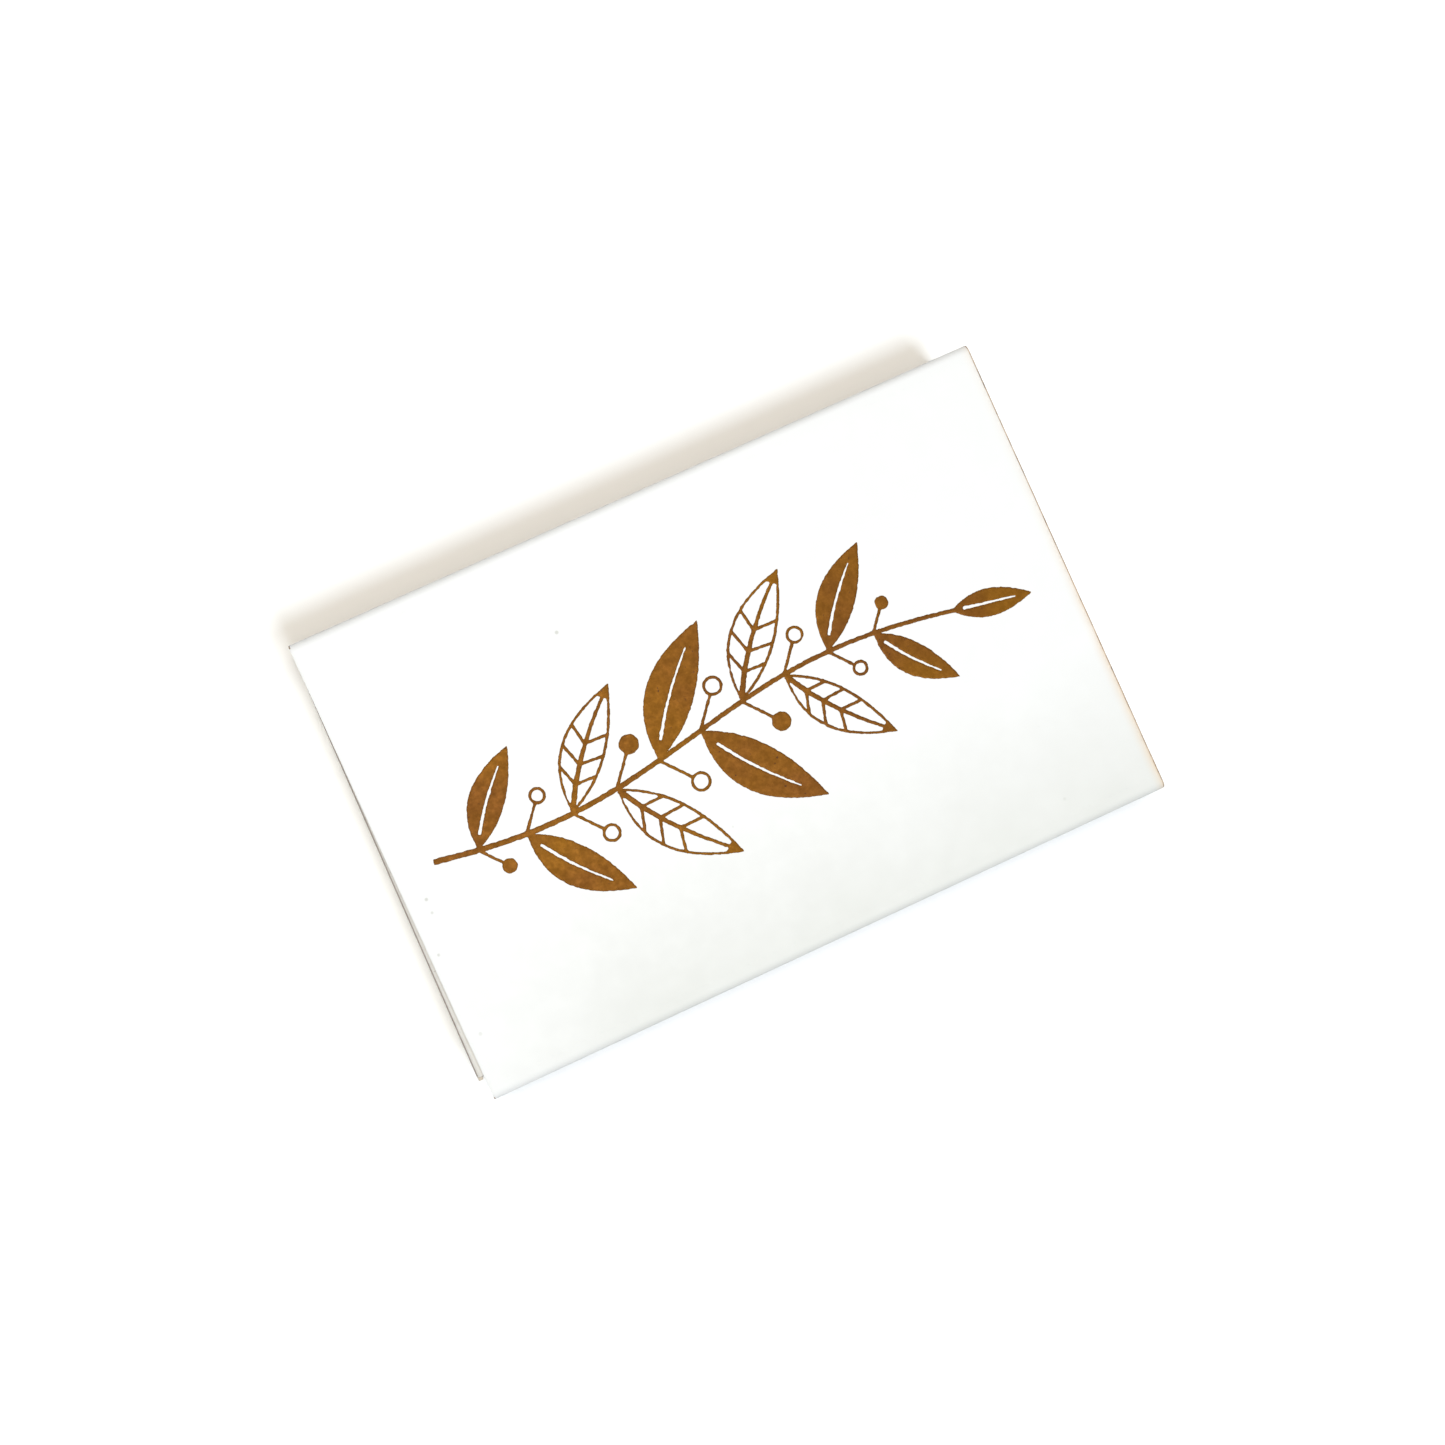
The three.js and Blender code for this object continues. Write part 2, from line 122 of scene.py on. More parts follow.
# Matches
MATCHES = sum(1 for node in frame["nodes"] if node.endswith("_splint"))
SPLINT_SIDE = 1.9 * MM
SPLINT_STEP = 0.8 * MM
SPLINT_WEAR = 0.035 * MM
SPLINT_GRAIN = 0.35 * MM
SPLINT_WAVE = 6 * MM
TORN_GRAIN = 0.4 * MM
TAIL_TAPER = 0.96
ARRIS = 0.1 * MM
FACE_SHARES = (-0.55, 0.0, 0.55)
HEAD_WIDTH = 2.7 * MM
HEAD_TIP = 1.6 * MM
HEAD_SKIRT = 2.6 * MM
DIP_FILM = 0.14 * MM
DIP_WAVE = 0.45 * MM
DIP_GRAIN = 1.1 * MM
HEAD_SIDES = 36
HEAD_SQUARE = 0.45
SKIRT_SWELL = 2.4
SKIRT_LIP = 14
SKIRT_RINGS = 16
TIP_RINGS = 12
HEAD_LUMP = 0.05 * MM
LUMP_GRAIN = 0.75 * MM
HEAD_GRIT = 0.014 * MM
GRIT_GRAIN = 0.2 * MM

# Striking strips
STRIKER_STEP = 0.4 * MM
STRIKER_RAGGED = 0.09 * MM
BORDER_GRAIN = 0.9 * MM
STRIKER_GRAIN = 0.5 * MM
STRIKER_RIM_SHARE = 0.25
SINK = 0.005 * MM

# Foil: distances in its plane are plain numbers of millimetres, and its heights are in metres.
# FOIL_DEEP is how many rims deep the inner ring of points lies. A turn of FOIL_TURN degrees or
# more is a sharp corner.
FOIL_STEP = 0.09
FOIL_SOFTENINGS = 3
FOIL_TURN = 30
FOIL_CUT = 1.0
FOIL_CORNER = 0.05
FOIL_CUT_SHARE = 0.25
FOIL_NO_GAP = 1e-6
FOIL_RIM = 0.055
FOIL_DEEP = 2.6
FOIL_CLEAR_SHARE = 0.85
FOIL_FRAY = 0.062
FRAY_BROAD = 0.3
FRAY_FINE = 0.11
FOIL_BITE = 0.12
BITE_GRAIN = 0.7
BITE_FROM = 0.42
FOIL_MEETING = 1e-5
FOIL_PRESSED = 0.018 * MM
FOIL_RIPPLE = 0.006 * MM
RIPPLE_GRAIN = 0.5

# The camera, fitted to the corners of the top panel in the photograph. Its tilts are in degrees
PHOTO_SIDE = 1445
FOCAL_PIXELS = 2724.1
CAMERA_TILT = (-1.64, 5.61, 24.51)
CAMERA_SHIFT = (-0.39 * MM, 0.01 * MM)
CAMERA_DISTANCE = 205.4 * MM
SENSOR = 36.0

# The lights. A glow is what each adds to white paper under it. The key light's place is a bearing
# and a height in degrees, and a distance. The floor's own glow starts at the first of its two
# distances from the box and is full from the second.
ROOM_GLOW = 0.13
ROOM_COLOUR = (1.0, 0.95, 0.86)
OVERHEAD_PLACE = (-30 * MM, 25 * MM, 350 * MM)
OVERHEAD_SIZE = 100 * MM
OVERHEAD_GLOW = 0.66
OVERHEAD_COLOUR = (1.0, 0.94, 0.83)
KEY_PLACE = (-77, 74.5, 1.0)
KEY_SIZE = 0.2
KEY_GLOW = 0.6
KEY_COLOUR = (0.8, 0.9, 1.0)
FLOOR_GLOW_FROM = (0.1, 0.5)
FLOOR_GLOW = 0.8
FLOOR_HALF = 0.6


# Small helpers

def link(obj):
    bpy.context.scene.collection.objects.link(obj)
    return obj


def mesh_object(name, vertices, faces, materials, slots=None):
    mesh = bpy.data.meshes.new(name)
    mesh.from_pydata([tuple(v) for v in vertices], [], faces)
    for material in materials:
        mesh.materials.append(material)
    if slots:
        mesh.polygons.foreach_set("material_index", slots)
    mesh.polygons.foreach_set("use_smooth", [True] * len(faces))
    mesh.validate()
    mesh.update()
    return link(bpy.data.objects.new(name, mesh))


def wander(point, scale, seed):
    """Smooth noise between about -1 and 1, at a grain of the given size."""
    return noise.noise(Vector(point) / scale + Vector((seed, 1.7 * seed, 0.3)))


def wander_share(point, scale, seed):
    """The same noise as a share between about 0 and 1."""
    return 0.5 + 0.5 * wander(point, scale, seed)


def spread(low, high, step):
    """Even places from low to high, no more than step apart."""
    count = max(1, math.ceil((high - low) / step))
    return [low + (high - low) * i / count for i in range(count + 1)]


def neighbours(loop):
    """Each thing in a closed loop with the one after it."""
    return zip(loop, loop[1:] + loop[:1])


def grid_rim(rows, columns):
    """The numbers of a grid's border points, once round."""
    rim = list(range(columns))
    rim += [i * columns + columns - 1 for i in range(1, rows)]
    rim += [(rows - 1) * columns + j for j in range(columns - 2, -1, -1)]
    rim += [i * columns for i in range(rows - 2, 0, -1)]
    return rim


# Materials

class Nodes:
    """A short way to write a material's node tree."""

    def __init__(self, name):
        self.material = bpy.data.materials.new(name)
        self.material.use_nodes = True
        self.tree = self.material.node_tree
        self.shader = self.tree.nodes["Principled BSDF"]
        coordinates = self.tree.nodes.new("ShaderNodeTexCoord")
        self.place = coordinates.outputs["Object"]

    def add(self, kind, **sockets):
        node = self.tree.nodes.new(kind)
        for name, value in sockets.items():
            self.feed(node.inputs[name.replace("_", " ")], value)
        return node

    def feed(self, socket, value):
        if isinstance(value, bpy.types.NodeSocket):
            self.tree.links.new(value, socket)
        else:
            socket.default_value = value

    def set(self, name, value):
        self.feed(self.shader.inputs[name], value)

    def stretched(self, scale):
        return self.add("ShaderNodeMapping", Vector=self.place, Scale=scale).outputs["Vector"]

    def noise(self, scale, detail=3.0, roughness=0.5, vector=None, distortion=0.0):
        node = self.add("ShaderNodeTexNoise", Vector=vector or self.place, Scale=scale,
                        Detail=detail, Roughness=roughness, Distortion=distortion)
        return node.outputs["Fac"]

    def cells(self, scale):
        return self.add("ShaderNodeTexVoronoi", Vector=self.place, Scale=scale).outputs["Distance"]

    def ramp(self, factor, low, high, to_low=0.0, to_high=1.0):
        node = self.add("ShaderNodeMapRange", Value=factor, From_Min=low, From_Max=high,
                        To_Min=to_low, To_Max=to_high)
        return node.outputs["Result"]

    def mix(self, factor, first, second):
        node = self.add("ShaderNodeMix")
        node.data_type = "RGBA"
        self.feed(node.inputs[0], factor)
        self.feed(node.inputs[6], first)
        self.feed(node.inputs[7], second)
        return node.outputs[2]

    def reckon(self, operation, *values):
        node = self.add("ShaderNodeMath")
        node.operation = operation
        for socket, value in zip(node.inputs, values):
            self.feed(socket, value)
        return node.outputs[0]

    def sum(self, first, second, weight):
        return self.reckon("MULTIPLY_ADD", second, weight, first)

    def product(self, first, second):
        return self.reckon("MULTIPLY", first, second)

    def axis(self, name):
        return self.add("ShaderNodeSeparateXYZ", Vector=self.place).outputs[name]

    def bump(self, height, depth, strength):
        node = self.add("ShaderNodeBump", Height=height, Strength=strength, Distance=depth)
        return node.outputs["Normal"]


def coated_card():
    """The outside of the sleeve: smooth white coated board with faint fibres and specks, greyed a
    little along its front by painted shade that fades out near the tail end, and tinted warm
    yellow-brown along the cut edge beside the match heads, most towards the front."""
    n = Nodes("coated_card")
    mottle = n.ramp(n.noise(90, 4, 0.6), 0.3, 0.7)
    base = n.mix(mottle, (0.755, 0.757, 0.762, 1), (0.766, 0.768, 0.773, 1))
    specks = n.ramp(n.cells(560), 0.05, 0.1, 1.0, 0.0)
    rare = n.ramp(n.noise(170, 2), 0.6, 0.64)
    base = n.mix(n.product(specks, rare), base, (0.56, 0.56, 0.54, 1))
    low, high = SLEEVE_LOW, SLEEVE_HIGH
    # Painted shade: the top is greyer towards its front, fading out near the tail end
    near_front = n.ramp(n.axis("Y"), low.y + PAINTED_SHADE_REACH, low.y)
    past_tail = n.ramp(n.axis("X"), low.x, low.x + PAINTED_SHADE_REACH, 0.15, 1.0)
    cloudy = n.ramp(n.noise(130, 2), 0.3, 0.7, 0.8, 1.0)
    painted_front_shade = n.product(cloudy, n.product(near_front, past_tail))
    base = n.mix(painted_front_shade, base, (0.64, 0.646, 0.624, 1))
    # A warm yellow-brown tint along the cut end beside the heads, strongest towards the front
    end = n.ramp(n.axis("X"), high.x - END_TINT_REACH, high.x)
    front = n.ramp(n.axis("Y"), 0.5 * high.y, 0.6 * low.y, 0.35, 1.0)
    patchy = n.ramp(n.noise(500, 2), 0.2, 0.7, 0.5, 1.0)
    end_tint = n.product(n.product(end, end), n.product(front, patchy))
    n.set("Base Color", n.mix(end_tint, base, (0.7, 0.53, 0.36, 1)))
    n.set("Roughness", n.ramp(n.noise(700, 3), 0.3, 0.7, 0.5, 0.62))
    n.shader.inputs["Specular IOR Level"].default_value = 0.25
    fibre = n.noise(2600, 4, 0.6, n.stretched((0.35, 1, 1)))
    cloud = n.noise(260, 3, 0.5)
    n.set("Normal", n.bump(n.sum(fibre, cloud, 0.7), 0.012 * MM, 0.8))
    return n.material


def plain_card(name, light, dark):
    """The uncoated side of the board: longer fibres, flecks and a softer tone."""
    n = Nodes(name)
    fibres = n.noise(900, 5, 0.65, n.stretched((0.25, 1, 1)), 0.6)
    flecks = n.ramp(n.noise(2300, 2, 0.5, n.stretched((0.3, 1.3, 1))), 0.68, 0.76)
    base = n.mix(n.ramp(fibres, 0.3, 0.7), dark, light)
    n.set("Base Color", n.mix(flecks, base, tuple(0.72 * c for c in dark[:3]) + (1,)))
    n.set("Roughness", n.ramp(fibres, 0.2, 0.8, 0.78, 0.92))
    n.shader.inputs["Specular IOR Level"].default_value = 0.25
    n.set("Normal", n.bump(n.sum(fibres, n.noise(4200, 2), 0.5), 0.03 * MM, 0.7))
    return n.material


def raw_edge(name, light, middle, dark):
    """The cut edge of a board: pulp in thin layers, darker in patches."""
    n = Nodes(name)
    pulp = n.noise(5200, 5, 0.7, n.stretched((0.3, 0.3, 1)))
    patch = n.ramp(n.noise(900, 3, 0.6), 0.35, 0.65)
    n.set("Base Color", n.mix(n.ramp(pulp, 0.38, 0.7), n.mix(patch, dark, middle), light))
    n.shader.inputs["Roughness"].default_value = 0.95
    n.shader.inputs["Specular IOR Level"].default_value = 0.15
    n.set("Normal", n.bump(pulp, 0.06 * MM, 1.0))
    return n.material


def copper_foil():
    """Stamped copper-brown foil: metal with worn, duller stretches, fine grain and dark nicks."""
    n = Nodes("copper_foil")
    n.shader.inputs["Metallic"].default_value = 0.35
    n.shader.inputs["Specular IOR Level"].default_value = 0.05
    broad = n.ramp(n.noise(140, 3, 0.5), 0.35, 0.65)
    grain = n.ramp(n.noise(5200, 4, 0.7), 0.35, 0.65)
    gold = n.mix(grain, (0.145, 0.057, 0.003, 1), (0.168, 0.068, 0.004, 1))
    copper = n.mix(grain, (0.112, 0.039, 0.005, 1), (0.132, 0.048, 0.007, 1))
    base = n.mix(broad, copper, gold)
    nick = n.ramp(n.noise(3300, 3, 0.6), 0.66, 0.72)
    n.set("Base Color", n.mix(nick, base, (0.055, 0.02, 0.008, 1)))
    n.set("Roughness", n.ramp(n.noise(2200, 3), 0.3, 0.7, 0.44, 0.58))
    n.set("Normal", n.bump(n.sum(n.noise(6500, 3), n.noise(900, 3), 0.8), 0.008 * MM, 0.7))
    return n.material


def striking_surface():
    """Red-brown striking compound with hard grains standing in it."""
    n = Nodes("striking_surface")
    grains = n.cells(4200)
    tone = n.ramp(n.noise(700, 4), 0.3, 0.7)
    base = n.mix(tone, (0.055, 0.028, 0.024, 1), (0.095, 0.046, 0.036, 1))
    n.set("Base Color", n.mix(n.ramp(grains, 0.05, 0.3, 1.0, 0.0), base, (0.17, 0.1, 0.08, 1)))
    n.set("Roughness", n.ramp(grains, 0.0, 0.5, 0.7, 0.98))
    n.set("Normal", n.bump(n.sum(n.noise(5000, 3), grains, 1.4), 0.05 * MM, 1.0))
    return n.material


def aspen():
    """Pale sawn wood: broad soft bands, and long darker grain lines along the splint."""
    n = Nodes("aspen_wood")
    long_grain = n.noise(2600, 5, 0.6, n.stretched((0.035, 1, 1)), 0.4)
    broad = n.noise(420, 3, 0.5, n.stretched((0.08, 1, 1)))
    base = n.mix(n.ramp(broad, 0.3, 0.7), (0.62, 0.45, 0.255, 1), (0.76, 0.6, 0.38, 1))
    n.set("Base Color", n.mix(n.ramp(long_grain, 0.56, 0.72), base, (0.45, 0.29, 0.145, 1)))
    n.set("Roughness", n.ramp(long_grain, 0.2, 0.8, 0.62, 0.84))
    n.shader.inputs["Specular IOR Level"].default_value = 0.3
    n.set("Normal", n.bump(long_grain, 0.04 * MM, 0.9))
    return n.material


def head_compound():
    """Dipped match head: dry, grainy red-brown compound with pale specks of filler."""
    n = Nodes("head_compound")
    cloud = n.ramp(n.noise(900, 4, 0.6), 0.3, 0.7)
    base = n.mix(cloud, (0.2, 0.026, 0.018, 1), (0.33, 0.05, 0.033, 1))
    specks = n.ramp(n.noise(6200, 2), 0.66, 0.74)
    n.set("Base Color", n.mix(specks, base, (0.55, 0.3, 0.24, 1)))
    n.set("Roughness", n.ramp(cloud, 0.0, 1.0, 0.62, 0.82))
    n.shader.inputs["Specular IOR Level"].default_value = 0.35
    n.set("Normal", n.bump(n.sum(n.noise(3600, 4, 0.6), n.cells(2400), 1.0), 0.07 * MM, 1.0))
    return n.material


def white_floor():
    """A white sweep: paper near the box, which glows evenly further off."""
    n = Nodes("white_floor")
    n.set("Base Color", n.mix(n.noise(40, 2), (0.97, 0.97, 0.97, 1), (0.98, 0.98, 0.98, 1)))
    n.shader.inputs["Roughness"].default_value = 0.9
    n.shader.inputs["Specular IOR Level"].default_value = 0.1
    n.shader.inputs["Emission Color"].default_value = (1, 1, 1, 1)
    reach = n.add("ShaderNodeVectorMath", Vector=n.place)
    reach.operation = "LENGTH"
    n.set("Emission Strength", n.ramp(reach.outputs["Value"], *FLOOR_GLOW_FROM, 0.0, FLOOR_GLOW))
    return n.material


# Folded card: a line walked in a plane, thickened, and run across that plane

class Walk:
    """The middle line of a bent card, walked in straights and right-hand bends.
    The card's outer face is on the left. reach is half the card's width at each row."""

    def __init__(self, start, heading, reach):
        self.place = Vector(start)
        self.heading = math.radians(heading)
        self.reach = reach
        self.rows = [(self.place, reach)]

    def step(self, length):
        ahead = Vector((math.cos(self.heading), math.sin(self.heading)))
        self.place = self.place + ahead * length
        self.rows.append((self.place, self.reach))

    def straight(self, length, reach=None):
        """On by a length. A new reach is met after a first short step."""
        self.reach = reach or self.reach
        if reach:
            self.step(RIM)
            length -= RIM
        count = math.ceil(length / CARD_STEP)
        for _ in range(count):
            self.step(length / count)
        return self

    def bend(self, radius, degrees=90, reach=None):
        """Round to the right, as a string of short chords."""
        self.reach = reach or self.reach
        count = round(degrees / BEND_STEP)
        angle = math.radians(degrees) / count
        for _ in range(count):
            self.heading -= angle / 2
            self.step(2 * radius * math.sin(angle / 2))
            self.heading -= angle / 2
        return self

    def rimmed(self):
        """The rows, with one more close to each cut edge."""
        (a, reach_a), (b, _) = self.rows[:2]
        (d, reach_d), (c, _) = self.rows[-1], self.rows[-2]
        first = a + (b - a).normalized() * RIM
        last = d + (c - d).normalized() * RIM
        return [self.rows[0], (first, reach_a), *self.rows[1:-1], (last, reach_d), self.rows[-1]]


def card_columns(reach):
    """Places across a card, with one more close to each cut edge."""
    inner = spread(-reach + 3 * RIM, reach - 3 * RIM, CARD_STEP)
    return [-reach, -reach + RIM, *inner, reach - RIM, reach]


def bent_card(walk, board, place, frayed=True):
    """Both faces of the card and its four crushed edges, as one closed shell of vertices, faces
    and slots. Where the card is frayed, the slot of the cut edge takes in a thin band of both
    faces. place(u, v, w) puts a point (u, v) of the walk's plane, w across it, into the frame."""
    rows = walk.rimmed()
    widest = max(reach for _, reach in rows)
    columns = card_columns(widest)
    height, width = len(rows), len(columns)
    vertices = []
    for side in (1, -1):
        for i, (point, reach) in enumerate(rows):
            along = (rows[min(i + 1, height - 1)][0] - rows[max(i - 1, 0)][0]).normalized()
            left = Vector((-along.y, along.x))
            for j, w in enumerate(columns):
                at_rim = i in (0, height - 1) or j in (0, width - 1)
                half = board / 2 - (CRUSH if at_rim else 0)
                at = point + left * (side * half)
                vertices.append(place(at.x, at.y, w * reach / widest))
    lower = height * width
    faces, slots = [], []
    for i in range(height - 1):
        for j in range(width - 1):
            a = i * width + j
            faces.append((a, a + width, a + width + 1, a + 1))
            faces.append((lower + a, lower + a + 1, lower + a + width + 1, lower + a + width))
            at_rim = i in (0, height - 2) or j in (0, width - 2)
            slots += [CUT, CUT] if at_rim and frayed else [OUTER, INNER]
    for a, b in neighbours(grid_rim(height, width)):
        faces.append((a, b, lower + b, lower + a))
        slots.append(CUT)
    return vertices, faces, slots


def joined(name, shells, materials, sharp=50):
    """One object from closed shells of vertices, faces and slots. Its edges look crisp where they
    turn by more than sharp, in degrees."""
    vertices, faces, slots = [], [], []
    for shell_vertices, shell_faces, shell_slots in shells:
        base = len(vertices)
        vertices += shell_vertices
        faces += [tuple(base + i for i in face) for face in shell_faces]
        slots += shell_slots
    obj = mesh_object(name, vertices, faces, materials, slots)
    bm = bmesh.new()
    bm.from_mesh(obj.data)
    bmesh.ops.recalc_face_normals(bm, faces=bm.faces)
    bm.to_mesh(obj.data)
    bm.free()
    obj.data.set_sharp_from_angle(angle=math.radians(sharp))
    return obj


# The sleeve, one card folded round from its glue flap inside the back wall to the ply outside it

def build_sleeve(looks):
    low, high = SLEEVE_LOW, SLEEVE_HIGH
    board, bend = SLEEVE_BOARD, SLEEVE_CREASE + SLEEVE_BOARD / 2
    fold = SLEEVE_CREASE + board
    width, height = high.y - low.y, high.z - low.z
    flap_top = high.z - board - GLUE_FLAP_SHORTFALL
    walk = Walk((high.y - 1.5 * board, flap_top), -90, (high.x - low.x) / 2)
    walk.straight(height - board - GLUE_FLAP_SHORTFALL - fold).bend(bend)
    walk.straight(width - board - 2 * fold).bend(bend)
    walk.straight(height - 2 * fold).bend(bend)
    walk.straight(width - 2 * fold).bend(bend)
    walk.straight(height - 2 * fold)
    middle = (low.x + high.x) / 2
    shell = bent_card(walk, board, lambda y, z, x: Vector((middle + x, y, z)))
    obj = joined("sleeve_card", [shell], [looks["card"], looks["inside"], looks["edge"]])
    ragged_ends(obj, low.x, high.x)
    clean_tail(obj)
    return obj


def ragged_ends(obj, low, high):
    """Cut ends aren't dead straight: their rim wanders inward, and so does the band beside it."""
    for vertex in obj.data.vertices:
        x = vertex.co.x
        from_end = min(x - low, high - x)
        if from_end > 1.5 * RIM:
            continue
        inward = 1 if x - low < high - x else -1
        slow = wander_share(vertex.co, RAGGED_SLOW, 3.1 * inward)
        quick = wander_share(vertex.co, RAGGED_QUICK, 7.7 * inward)
        vertex.co.x += inward * RAGGED * (0.5 * slow + 0.5 * quick)
    obj.data.update()


def clean_tail(obj):
    """At the end away from the heads the coating on top runs right out to the cut."""
    for face in obj.data.polygons:
        on_top = face.normal.z > FACING_UP and face.center.z > SLEEVE_HIGH.z / 2
        if on_top and face.center.x < SLEEVE_LOW.x + RIM:
            face.material_index = OUTER


# The tray, in its own skewed frame: x along it, y across, z up from its floor

def tray_end_walk():
    """From the inner ply's foot, up, over the roll, down outside and under to the floor."""
    narrow = TRAY_WIDTH / 2 - TRAY_BOARD - TRAY_PLY_GAP
    wide = TRAY_WIDTH / 2 - TRAY_CORNER_RELIEF
    foot = TRAY_BOARD + TRAY_PLY_GAP
    walk = Walk((TRAY_LENGTH / 2 - 2 * TRAY_ROLL + TRAY_BOARD / 2, foot), 90, narrow)
    walk.straight(TRAY_HEIGHT - TRAY_ROLL - foot).bend(TRAY_ROLL - TRAY_BOARD / 2, 180)
    walk.straight(TRAY_HEIGHT - TRAY_ROLL - TRAY_FOLD, wide).bend(TRAY_BEND, 90, narrow)
    walk.straight(foot + CARD_OVERRUN)
    return walk


def tray_trough_walk():
    """Down one long wall, across the floor and up the other."""
    reach = TRAY_END_FACE - TRAY_FOLD
    walk = Walk((TRAY_WIDTH / 2 - TRAY_BOARD / 2, TRAY_HEIGHT), -90, reach)
    walk.straight(TRAY_HEIGHT - TRAY_FOLD).bend(TRAY_BEND)
    walk.straight(TRAY_WIDTH - 2 * TRAY_FOLD).bend(TRAY_BEND)
    walk.straight(TRAY_HEIGHT - TRAY_FOLD)
    return walk


def tray_tab_walk(bottom, top):
    """From the long wall's end, round the corner and in between the plies of the end wall."""
    start = (TRAY_END_FACE - TRAY_FOLD - CARD_OVERRUN, TRAY_WIDTH / 2 - TRAY_BOARD / 2)
    walk = Walk(start, 0, (top - bottom) / 2)
    walk.straight(CARD_OVERRUN).bend(TRAY_BEND)
    walk.straight(TRAY_TAB_LENGTH - TRAY_FOLD)
    return walk


def build_tray(looks):
    bottom, top = TRAY_FOLD + TRAY_PLY_GAP, TRAY_HEIGHT - TRAY_ROLL - TRAY_PLY_GAP
    middle = (bottom + top) / 2
    shells = [bent_card(tray_trough_walk(), TRAY_BOARD, lambda y, z, x: Vector((x, y, z)))]
    for end in (1, -1):
        shells.append(bent_card(tray_end_walk(), TRAY_BOARD,
                                lambda x, z, y: Vector((end * x, y, z)), frayed=False))
        for side in (1, -1):
            shells.append(bent_card(tray_tab_walk(bottom, top), TRAY_BOARD,
                                    lambda x, y, z: Vector((end * x, side * y, middle + z))))
    cards = [looks["tray"], looks["tray_inside"], looks["tray_edge"], looks["shade_on_rolls"]]
    obj = joined("tray_card", shells, cards)
    # Painted shade: the rolls' sideways-facing shoulders take a darker card
    for face in obj.data.polygons:
        if face.material_index == OUTER and is_shoulder(face.normal):
            face.material_index = PAINTED_SHADE_SLOT
    for vertex in obj.data.vertices:
        vertex.co = TRAY_PLACE @ tray_wear(vertex.co)
    obj.data.update()
    return obj


def is_shoulder(normal):
    """The shoulders of an end wall's roll, which face sideways and are painted darker as shade."""
    return abs(normal.x) > math.sin(SHOULDER) and normal.z > SHOULDER_RISE


def tray_wear(point):
    """Hand-thin card: the walls lean in a little where nothing stiffens them, their edges most."""
    x, y, z = point
    inside = 1 - (2 * x / TRAY_LENGTH) ** 4
    rise = (z / TRAY_HEIGHT) ** 2
    uneven = 0.7 + 0.3 * wander((x, 0, 0), LEAN_GRAIN, math.copysign(5, y))
    lean = WALL_LEAN * inside * rise * uneven
    if abs(y) > TRAY_WIDTH / 2 - 1.2 * TRAY_BOARD:
        y -= math.copysign(lean, y)
    return Vector((x, y, z))


# The matches, each in its splint's own frame: x along it, from 0 at the head's widest section

def splint_place(node):
    """The splint's frame and its length, from the corners of its solid."""
    points = frame["nodes"][node].data.vertices
    corners = sorted({tuple(round(c, PLACE_DIGITS) for c in point.co) for point in points})
    tail = sum((Vector(c) for c in corners[:4]), Vector()) / 4
    nose = sum((Vector(c) for c in corners[4:]), Vector()) / 4
    x = (nose - tail).normalized()
    y = Vector((0, 0, 1)).cross(x).normalized()
    turn = Matrix((x, y, x.cross(y))).transposed()
    return Matrix.Translation(nose) @ turn.to_4x4(), (nose - tail).length


def tube(rings):
    """Quads between rings of points, capped at both ends by a fan round each ring's middle."""
    sides = len(rings[0])
    vertices = [p for ring in rings for p in ring]
    faces = []
    for r in range(len(rings) - 1):
        for i in range(sides):
            a, b = r * sides + i, r * sides + (i + 1) % sides
            faces.append((a, b, b + sides, a + sides))
    for ring in (0, len(rings) - 1):
        middle = len(vertices)
        vertices.append(sum(rings[ring], Vector()) / sides)
        for i in range(sides):
            faces.append((ring * sides + i, ring * sides + (i + 1) % sides, middle))
    return vertices, faces, [0] * len(faces)


def placed(shell, place):
    """A shell with its vertices carried into the frame."""
    vertices, faces, slots = shell
    return [place @ v for v in vertices], faces, slots


def splint_section(half):
    """A sawn square with its arrises just broken."""
    corner = Vector((half - ARRIS, half))
    side = [Vector((half * share, half)) for share in FACE_SHARES]
    quarter = [Vector((-corner.x, half)), *side, corner]
    return [Matrix.Rotation(-math.pi / 2 * turn, 2) @ p for turn in range(4) for p in quarter]


def build_splint(number, look):
    place, length = splint_place(f"match_{number:02d}_splint")
    section = splint_section(SPLINT_SIDE / 2)
    rings = []
    stations = [-length, -length + 0.5 * RIM, *spread(-length + 3 * RIM, -3 * RIM, SPLINT_STEP), 0]
    for x in stations:
        ring = []
        for point in section:
            grain = wander((0.07 * x, point.x, point.y), SPLINT_GRAIN, 11.3 * number)
            wave = wander((x, 0.3 * point.x, 0.3 * point.y), SPLINT_WAVE, 5.7 * number)
            shrink = 1 - (0.5 + 0.3 * grain + 0.2 * wave) * SPLINT_WEAR / (SPLINT_SIDE / 2)
            if x == -length:
                shrink *= TAIL_TAPER
            torn = wander_share((0, *point), TORN_GRAIN, 3.3 * number)
            back = SPLINT_WEAR * torn if x < -length + RIM else 0
            ring.append(Vector((x + back, point.x * shrink, point.y * shrink)))
        rings.append(ring)
    return joined(f"splint_{number:02d}", [placed(tube(rings), place)], [look], 35)


def head_ring(x, half, squareness, number):
    """One turn round a head, softly squared towards the splint, with the dip's lumps."""
    ring = []
    for i in range(HEAD_SIDES):
        a = 2 * math.pi * (i + 0.5) / HEAD_SIDES
        c, s = math.cos(a), math.sin(a)
        flat = half / (c ** 6 + s ** 6) ** (1 / 6)
        reach = half + (flat - half) * squareness
        lump = wander((x, reach * c, reach * s), LUMP_GRAIN, 4.9 * number)
        grit = wander((x, reach * c, reach * s), GRIT_GRAIN, 2.3 * number)
        reach += min(1, half / HEAD_WIDTH * 2) * (HEAD_LUMP * (lump - 0.3) + HEAD_GRIT * grit)
        ring.append(Vector((x, reach * c, reach * s)))
    return ring


